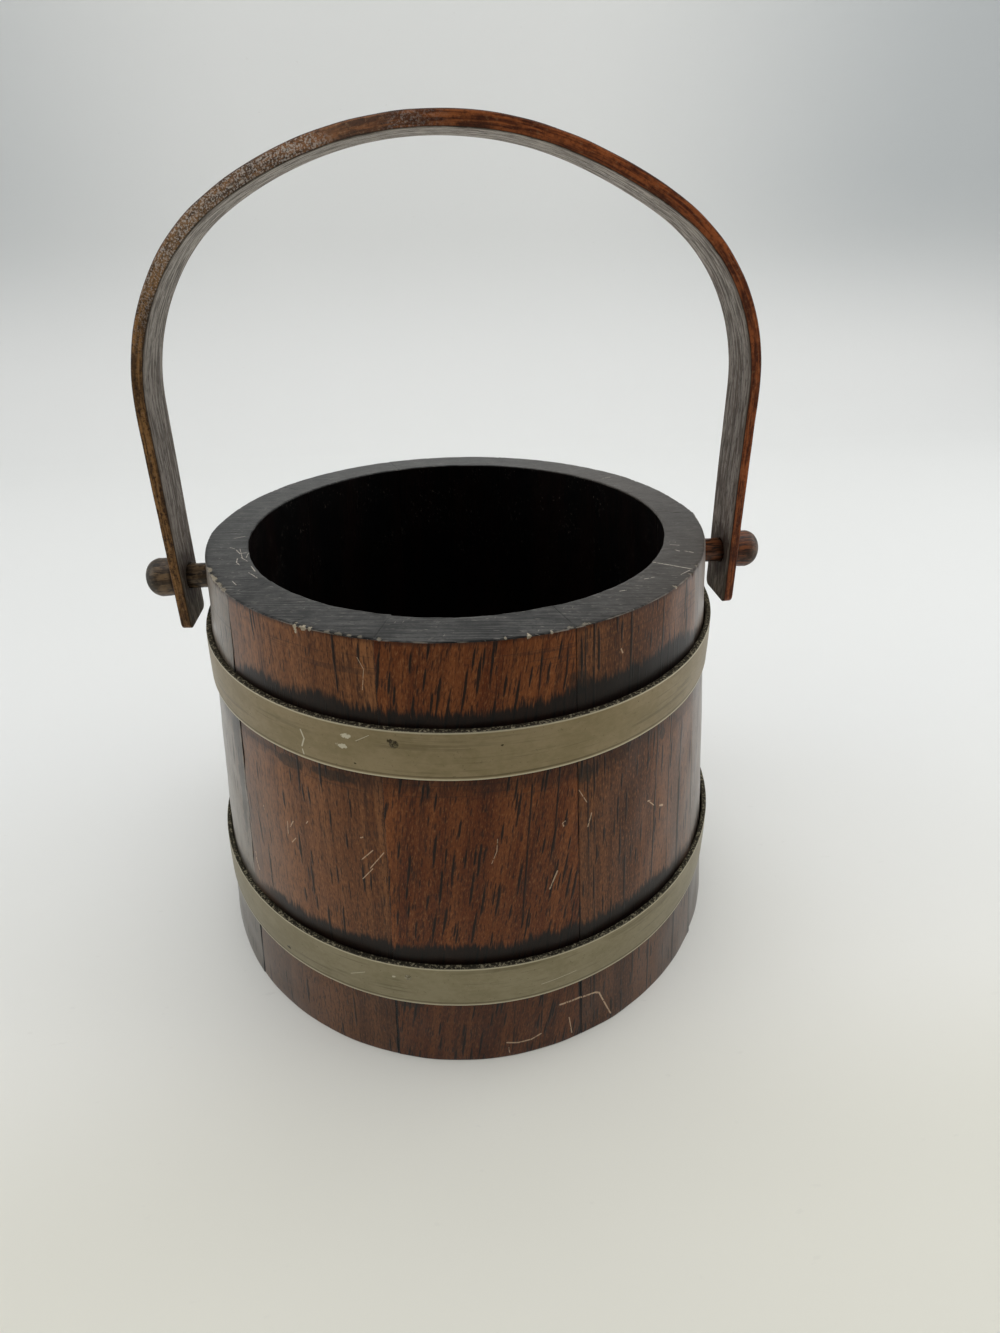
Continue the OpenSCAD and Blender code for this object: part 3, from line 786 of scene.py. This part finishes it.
# marks on the hoops: scratches as half width and points, spots as place, half width, half height
# and kind; each place is an azimuth and a height
UPPER_SCRATCHES = [
    (0.3, (-30.9, 115.0), (-30.3, 112.6), (-31.0, 110.0)), (0.26, (-31.0, 108.9), (-30.8, 107.5)),
    (0.1, (-19.5, 115.9), (-17.0, 118.1)),
]
UPPER_SPOTS = [
    ((-21.3, 116.8), 1.3, 0.65, "pale"), ((-22.3, 113.6), 1.5, 0.6, "pale"),
    ((-13.3, 117.2), 0.9, 0.55, "dark"), ((-20.0, 109.0), 0.4, 0.3, "dark"), ((6.0, 115.9), 0.4, 0.3, "dark"),
]
LOWER_SCRATCHES = [(0.14, (-24.0, 33.0), (-21.0, 35.5)), (0.12, (12.0, 31.0), (19.0, 32.0))]
LOWER_SPOTS = [((-39.5, 29.6), 0.8, 0.5, "dark"), ((-15.2, 36.6), 0.6, 0.35, "pale")]

add_piece("upper_band", hoop_mesh("upper_band", UPPER_TOP, UPPER_W, UPPER_GAP, 0.35, 5),
          hoop_finish("upper_band_metal", 0.3, 84.0, (131, 118, 90), (145, 131, 104), UPPER_SCRATCHES, UPPER_SPOTS),
          "bucket", "hoop_metal", "upper_hoop")
add_piece("lower_band", hoop_mesh("lower_band", LOWER_TOP, LOWER_W, LOWER_GAP, 0.4, 8),
          hoop_finish("lower_band_metal", 0.8, 94.0, (133, 124, 98), (146, 137, 112), LOWER_SCRATCHES, LOWER_SPOTS),
          "bucket", "hoop_metal", "lower_hoop")


def nail_finish(name, dark, light):
    """Dull nail metal with rubbed highlights."""
    material, tree = new_finish(name)
    spot = place(tree)
    lumps = cloud(spot, (0.5, 0.5, 0.5), 1.0, 3, 0.6)
    base = tint(ramp(lumps, 0.4, 0.65), colour(*dark), colour(*light))
    finish_off(tree, base, 0.45 + lumps * 0.2, lumps * 0.06, metal=0.7)
    return material


def nail_mesh(name, top, width, gap):
    """A shank and a low domed head, turned about the nail's own line, which points outwards."""
    lean = gap / width - (BASE_R - RIM_R) / BODY_H
    mid = (wall(top) + wall(top - width) + gap) / 2 + HOOP_T + NAIL_UP * lean
    z = top - width / 2 + NAIL_UP
    face, head = mid + NAIL_PROUD, mid - NAIL_SINK
    dome = np.radians(np.linspace(0, 86, 8))
    profile = np.concatenate([
        [(head - NAIL_L, 0.05), (head - NAIL_L + 0.6, NAIL_R), (head - 0.05, NAIL_R), (head, NAIL_HEAD_R)],
        np.stack([face - 0.45 + 0.45 * np.sin(dome), NAIL_HEAD_R * np.cos(dome)], -1)])
    ahead, aside = np.array([math.cos(NAIL_TURN), math.sin(NAIL_TURN)]), np.array([-math.sin(NAIL_TURN), math.cos(NAIL_TURN)])

    def set_out(a, b, c):
        return np.stack([a * ahead[0] + b * aside[0], a * ahead[1] + b * aside[1], z + c], -1)

    points, quads, caps, *_ = lathe(profile, 24, set_out)
    return make_mesh(name, points, quads[:, ::-1], [c[::-1] for c in caps])


add_piece("upper_nail", nail_mesh("upper_nail", UPPER_TOP, UPPER_W, UPPER_GAP),
          nail_finish("upper_nail_metal", (58, 50, 34), (122, 112, 82)),
          "bucket", "nail_metal", "upper_hoop_nail")
add_piece("lower_nail", nail_mesh("lower_nail", LOWER_TOP, LOWER_W, LOWER_GAP),
          nail_finish("lower_nail_metal", (112, 104, 82), (164, 156, 132)),
          "bucket", "nail_metal", "lower_hoop_nail")


def peg_mesh(name, side):
    """A turned peg: shank, then a head with a softly rounded end, turned about the peg's line
    with slight tool rings."""
    end = HEAD_X + PEG_HEAD_L
    profile = rounded_path(
        [(PEG_TIP, 0.05), (PEG_TIP, PEG_R), (HEAD_X, PEG_R), (HEAD_X, PEG_HEAD_R), (end, PEG_HEAD_R), (end, 0.05)],
        [0, 0.5, 0.15, 0.8, 4.6, 0], [1, 0.5, 0.5, 0.4, 0.4], steps=12)
    length, radius = profile.T
    rings = 0.03 * np.sin(length * 2.9) + 0.04 * np.sin(length * 0.9 + 1)
    barrel = -0.25 * np.clip((HEAD_X + 4.5 - length) / 4.5, 0, 1) ** 2 * (radius > PEG_R + 0.5)
    radius = np.where(radius > 0.3, radius + (rings - 0.05 + barrel) * (length > HEAD_X), radius)
    profile = np.stack([length, radius], -1)

    def set_out(a, b, c):
        return np.stack([side * a + SLID * np.clip((a - 80) / 8, 0, 1), side * b, PEG_Z + c], -1)

    points, quads, caps, along, u, v = lathe(profile, 64, set_out)
    worn = np.clip((along - end + 5.5) / 4.0, 0, 1)
    # soot and painted shade where the head meets the bail and where the shank enters it
    soot_and_shadow = np.exp(-((along - HEAD_X) / 0.8) ** 2) + 0.9 * np.exp(-((along - LEG_OUT + BAIL_T) / 1.6) ** 2)
    fields = {"board": np.stack([along, u, v], -1).reshape(-1, 3),
              "surface_marks": np.stack([worn, np.minimum(soot_and_shadow, 1), along < HEAD_X], -1).reshape(-1, 3)}
    return make_mesh(name, points, quads[:, ::-1], [c[::-1] for c in caps], fields)


add_piece("turned_peg_left", peg_mesh("turned_peg_left", -1),
          peg_finish("left_peg_wood", (126, 102, 74), (66, 52, 38), 3.0),
          "bucket", "peg_wood", "left_peg")
add_piece("turned_peg_right", peg_mesh("turned_peg_right", 1),
          peg_finish("right_peg_wood", (136, 80, 46), (68, 38, 24), 5.0),
          "bucket", "peg_wood", "right_peg")


# the arch: two legs that lean out to their feet, two shoulder arcs and one wide arc, all tangent
TOP_R, SHOULDER_R = 1.227 * LEG_OUT, 0.671 * LEG_OUT
ARCH_Z = BAIL_RISE - TOP_R
LEG_DIR = np.array([-math.sin(LEG_SPLAY), math.cos(LEG_SPLAY)])
SHOULDER_FOOT = (LEG_OUT - SHOULDER_R * math.cos(LEG_SPLAY), -SHOULDER_R * math.sin(LEG_SPLAY))
FROM_TOP = np.array([SHOULDER_FOOT[0], SHOULDER_FOOT[1] - ARCH_Z])
LEG_UP = math.sqrt((FROM_TOP @ LEG_DIR) ** 2 - FROM_TOP @ FROM_TOP + (TOP_R - SHOULDER_R) ** 2) - FROM_TOP @ LEG_DIR
SHOULDER_X, SHOULDER_Z = SHOULDER_FOOT + LEG_UP * LEG_DIR
SHOULDER_TURN = math.atan2(SHOULDER_Z - ARCH_Z, SHOULDER_X)
LEG_RUN = BAIL_TAIL + LEG_UP
SHOULDER_RUN = (SHOULDER_R - BAIL_T / 2) * (SHOULDER_TURN - LEG_SPLAY)
TOP_RUN = (TOP_R - BAIL_T / 2) * (math.pi - 2 * SHOULDER_TURN)
BAIL_RUN = 2 * (LEG_RUN + SHOULDER_RUN) + TOP_RUN
# where a peg's line crosses the middle of a leg
HOLE_AT = BAIL_TAIL + BAIL_T / 2 * math.tan(LEG_SPLAY)


def along_arch(s, lift):
    """Place on the arch s along its middle line from the right-hand foot, lifted outwards: the
    direction it faces turns only in the arcs, and each part starts where the last one ends."""
    mirrored = s > BAIL_RUN / 2
    s = np.where(mirrored, BAIL_RUN - s, s)
    shoulder, top = s - LEG_RUN, s - LEG_RUN - SHOULDER_RUN
    turn = np.where(top > 0, SHOULDER_TURN + top / (TOP_R - BAIL_T / 2),
                    LEG_SPLAY + np.clip(shoulder, 0, None) / (SHOULDER_R - BAIL_T / 2))
    down_leg = np.clip(-shoulder, 0, None)
    reach = np.where(top > 0, TOP_R, SHOULDER_R) - BAIL_T / 2 + lift
    x = np.where(top > 0, 0, SHOULDER_X) + reach * np.cos(turn) - down_leg * LEG_DIR[0]
    z = np.where(top > 0, ARCH_Z, SHOULDER_Z) + reach * np.sin(turn) - down_leg * LEG_DIR[1]
    # bent by hand: the legs have slid to the right and bow out to that side, the crown leans back
    # to the middle, and the right-hand end of the crown is a little low
    rise = np.clip((z - 80) / (BAIL_RISE - 80), 0, 1)
    slid = SLID + 0.35 * np.exp(-((z - 70) / 28) ** 2) - 1.0 * rise * rise * (3 - 2 * rise)
    x = np.where(mirrored, -x, x)
    low = 0.75 * np.exp(-((x - 46) / 22) ** 2) * np.clip((z - 60) / 20, 0, 1)
    return x + slid, z - low + PEG_Z


def bail_mesh():
    """A flat strip with rounded corners, arrises and a peg hole near each end, bent along the
    arch. The strip is a grid of lengths and widths; round each hole a square of it is replaced
    by rings that pass from the square to the circle. Both faces share the layout, a quarter
    round joins each face to the narrow edges, and straight walls join the two rims of a hole."""
    arris, corner, block, cells = 0.55, 2.3, 5.6, 14
    flat_half, tight = BAIL_W / 2 - arris, corner - arris
    inside = np.linspace(-block, block, cells + 1)
    margin = np.linspace(block, flat_half, 4)[1:]
    w = np.concatenate([-margin[::-1], inside, margin])
    ease = arris + tight * (1 - np.cos(np.radians(np.linspace(0, 90, 8))))
    to_hole = np.linspace(ease[-1], HOLE_AT - block, 5)[1:]
    hole_rows = HOLE_AT + inside[1:]
    near = np.concatenate([ease, to_hole, hole_rows])
    span = np.linspace(near[-1], BAIL_RUN - near[-1], 260)[1:-1]
    s = np.concatenate([near, span, (BAIL_RUN - near)[::-1]])
    rows, cols = len(s), len(w)
    from_end = np.minimum(s, BAIL_RUN - s) - arris
    pinch = np.where(from_end < tight, tight - np.sqrt(np.clip(tight ** 2 - (tight - from_end) ** 2, 0, None)), 0)
    # cut by hand: both feet reach a little further than drawn, the right-hand one more
    foot = np.clip(1 - np.array([s, BAIL_RUN - s]) / (HOLE_AT - block), 0, 1)
    s = s - 2.1 * foot[0] + 0.8 * foot[1]
    S = np.broadcast_to(s[:, None], (rows, cols))
    W = w * (1 - pinch[:, None] / flat_half)
    quads = grid_quads(rows, cols)

    first_row, first_col = len(ease) + len(to_hole) - 1, len(margin)
    row_of, col_of = quads[:, 0] // cols, quads[:, 0] % cols
    in_cols = (col_of >= first_col) & (col_of < first_col + cells)
    keep = ~in_cols | ~(((row_of >= first_row) & (row_of < first_row + cells))
                        | ((row_of >= rows - 1 - first_row - cells) & (row_of < rows - 1 - first_row)))
    flat, flat_quads = [np.stack([S, W], -1).reshape(-1, 2)], [quads[keep]]
    rims = []
    used = rows * cols
    i, one = np.arange(cells), np.full(cells, cells)
    ring_r = np.concatenate([i * 0, i, one, cells - i])
    ring_c = np.concatenate([i, one, cells - i, i * 0])
    for start, middle in ((first_row, HOLE_AT), (rows - 1 - first_row - cells, BAIL_RUN - HOLE_AT)):
        outer_ids = (start + ring_r) * cols + first_col + ring_c
        square = flat[0][outer_ids] - (middle, 0)
        circle = square / np.linalg.norm(square, axis=1, keepdims=True) * HOLE_R
        share = np.linspace(0, 1, 5)[1:, None, None]
        rings = square + (circle - square) * share + (middle, 0)
        flat.append(rings.reshape(-1, 2))
        ids = np.concatenate([outer_ids[None], used + np.arange(4 * len(outer_ids)).reshape(4, -1)])
        nxt = np.roll(ids, -1, 1)
        flat_quads.append(np.stack([ids[:-1], nxt[:-1], nxt[1:], ids[1:]], -1).reshape(-1, 4))
        rims.append(ids[-1])
        used += 4 * len(outer_ids)
    flat, flat_quads = np.concatenate(flat), np.concatenate(flat_quads)

    grid = np.arange(rows * cols).reshape(rows, cols)
    rim = np.concatenate([grid[0, :-1], grid[:-1, -1], grid[-1, :0:-1], grid[:0:-1, 0]])
    border = flat[rim]
    run = np.roll(border, -1, 0) - np.roll(border, 1, 0)
    out = np.stack([run[:, 1], -run[:, 0]], -1) / np.linalg.norm(run, axis=1, keepdims=True)
    if (out * (border - border.mean(0))).sum() < 0:
        out = -out
    out[np.abs(border[:, 1]) > flat_half - 1e-6] = np.sign(border[np.abs(border[:, 1]) > flat_half - 1e-6, 1:]) * (0, 1)
    turn = np.radians(np.linspace(0, 180, 13))[1:-1, None, None]
    skirt = border + arris * np.sin(turn) * out
    lift_share = np.cos(turn[:, 0, 0])
    n_flat, n_rim = len(flat), len(rim)

    def thickness(t):
        """The strip is a little thicker towards the crown."""
        return BAIL_T + 0.5 * np.exp(-((t - BAIL_RUN / 2) / 110) ** 2) - 0.04 * (1 + np.sin(t * 0.13))

    s_all = np.concatenate([flat[:, 0], flat[:, 0], skirt[..., 0].ravel()])
    w_all = np.concatenate([flat[:, 1], flat[:, 1], skirt[..., 1].ravel()])
    thick = thickness(s_all)
    inner_face = BAIL_T / 2 - thick
    top_h, low_h = BAIL_T / 2 + 0 * thick, inner_face
    ring_h = np.where(lift_share[:, None] >= 0, 1.0, 0.0) + 0 * skirt[..., 0]
    skirt_h = np.where(ring_h > 0, BAIL_T / 2 - arris * (1 - lift_share[:, None]),
                       inner_face[2 * n_flat:].reshape(skirt.shape[:2]) + arris * (1 + lift_share[:, None]))
    lift = np.concatenate([top_h[:n_flat], low_h[n_flat:2 * n_flat], skirt_h.ravel()])
    w_all = w_all * (0.99 + 0.012 * np.sin(s_all * 0.045 + 0.8) + 0.05 * np.exp(-((s_all - BAIL_RUN / 2) / 110) ** 2))
    lift = lift - 0.05 * (1 + ripple(s_all, w_all, 91, 60, 9)) * (lift > 0) * (np.abs(s_all - BAIL_RUN / 2) < BAIL_RUN / 2 - 25)
    x, z = along_arch(s_all, lift)
    points = np.stack([x, w_all, z], -1)

    top_quads, low_quads = flat_quads, flat_quads[:, ::-1] + n_flat
    bands = np.concatenate([rim[None], 2 * n_flat + np.arange(skirt.shape[0] * n_rim).reshape(-1, n_rim), rim[None] + n_flat])
    nxt = np.roll(bands, -1, 1)
    wall_quads = np.stack([bands[:-1], bands[1:], nxt[1:], nxt[:-1]], -1).reshape(-1, 4)
    holes = [np.stack([h, np.roll(h, -1), np.roll(h, -1) + n_flat, h + n_flat], -1) for h in rims]
    quads = np.concatenate([top_quads, low_quads, wall_quads, *holes])
    inside_face = np.concatenate([np.zeros(n_flat), np.ones(n_flat),
                                  np.repeat(np.where(lift_share < -0.7, 1.0, 0.0), n_rim)])
    dark_edge = np.exp(-((lift_share + 0.6) / 0.3) ** 2) + 0.9 * np.exp(-((lift_share - 0.8) / 0.2) ** 2)
    arris_line = np.concatenate([np.zeros(2 * n_flat), np.repeat(dark_edge, n_rim)])
    rubbed = np.exp(-((flat_half - np.abs(w_all)) / 0.45) ** 2) * inside_face
    fields = {"board": np.stack([s_all, w_all, lift], -1),
              "surface_marks": np.stack([inside_face, arris_line, rubbed], -1)}
    return make_mesh("bent_bail", points, quads, (), fields)


add_piece("bent_bail", bail_mesh(), bail_finish(), "bail", "bail_wood", "bail")


# ---------------------------------------------------------------- floor, light and camera

def floor_mesh():
    """A level floor that curves up into a backdrop behind the bucket: the side outline, flat,
    quarter round and upright, carried across."""
    turn = np.radians(np.linspace(0, 90, 16))
    y = np.concatenate([[-1600, -400, 200], 620 + 220 * np.sin(turn), [840, 840]])
    z = np.concatenate([[0, 0, 0], 220 - 220 * np.cos(turn), [900, 1500]])
    x = np.linspace(-1800, 1800, 9)
    points = np.stack([np.broadcast_to(x, (len(y), len(x))), np.broadcast_to(y[:, None], (len(y), len(x))),
                       np.broadcast_to(z[:, None], (len(y), len(x)))], -1).reshape(-1, 3)
    return make_mesh("floor", points, grid_quads(len(y), len(x))[:, ::-1])


def floor_finish():
    """Smooth pale board, a little warmer in front, with painted shade that makes it darker in front
    of the bucket and greyer high up at the sides, and faint soft marks."""
    material, tree = new_finish("pale_floor")
    spot = place(tree)
    x, y, z = parts(spot)
    soft = cloud(spot, (160, 160, 160), 1.0, 2)
    fleck = ramp(cloud(spot, (6, 2.5, 4), 2.0, 2), 0.72, 0.8)
    base = tint(ramp(y + soft * 80, 140, -260), colour(232, 233, 231), colour(232, 229, 215))
    # painted shade: darker in front of the bucket
    base = tint(ramp(y, -70, -140) * 0.6, base, colour(214, 213, 201))
    # painted shade: greyer high up towards the sides
    aside = ramp(x.math("ABSOLUTE", x), 150, 700) * ramp(z, 40, 300) * 0.8
    base = tint(aside, base, colour(181, 186, 188))
    base = tint(fleck * 0.12, base, colour(190, 188, 182))
    finish_off(tree, base, 0.5 + soft * 0.1, soft * 0.0, level=0.3)
    return material


floor = bpy.data.objects.new("floor", floor_mesh())
floor.data.materials.append(floor_finish())
scene.collection.objects.link(floor)


def soft_room():
    """Even light from above, the sides and behind, and a dim room in front."""
    world = bpy.data.worlds.new("studio")
    world.use_nodes = True
    tree = Wire(world.node_tree)
    x, y, z = parts(tree.node("TexCoord", None, None))
    glow = (0.09 + ramp(x.math("ABSOLUTE", x), 0.3, 0.9) * 0.32 + ramp(z, 0.3, 0.95) * 0.37
            + ramp(y, 0.0, 0.8) * 0.24)
    back = world.node_tree.nodes["Background"]
    back.inputs["Color"].default_value = (0.95, 0.96, 0.97, 1)
    world.node_tree.links.new(glow.socket, back.inputs["Strength"])
    return world


scene.world = soft_room()
scene.view_settings.view_transform = "Standard"


def soft_light(name, where, size, power):
    """A large square lamp that faces the bucket."""
    lamp = bpy.data.lights.new(name, "AREA")
    lamp.shape, lamp.size, lamp.energy = "SQUARE", size, power
    holder = bpy.data.objects.new(name, lamp)
    holder.location = where
    holder.rotation_mode = "QUATERNION"
    holder.rotation_quaternion = (Vector((0, 0, 0.1)) - Vector(where)).to_track_quat("-Z", "Y")
    scene.collection.objects.link(holder)


soft_light("top_light", (0.05, 0.15, 1.3), 1.2, 8.3)
soft_light("left_light", (-1.0, 0.1, 0.6), 0.9, 2.8)
soft_light("right_light", (1.0, 0.1, 0.6), 0.9, 3.7)

lens = bpy.data.cameras.new("photo_camera")
lens.sensor_width, lens.lens = 36.0, 700.1 / 1333 * 36
lens.clip_start, lens.clip_end = 0.005, 20
camera = bpy.data.objects.new("photo_camera", lens)
camera.matrix_world = Matrix((
    (0.99419, 0.06295, -0.08746, -0.00935),
    (-0.10753, 0.52593, -0.84371, -0.21843),
    (-0.00711, 0.84820, 0.52963, 0.22384),
    (0, 0, 0, 1)))
scene.collection.objects.link(camera)
scene.camera = camera
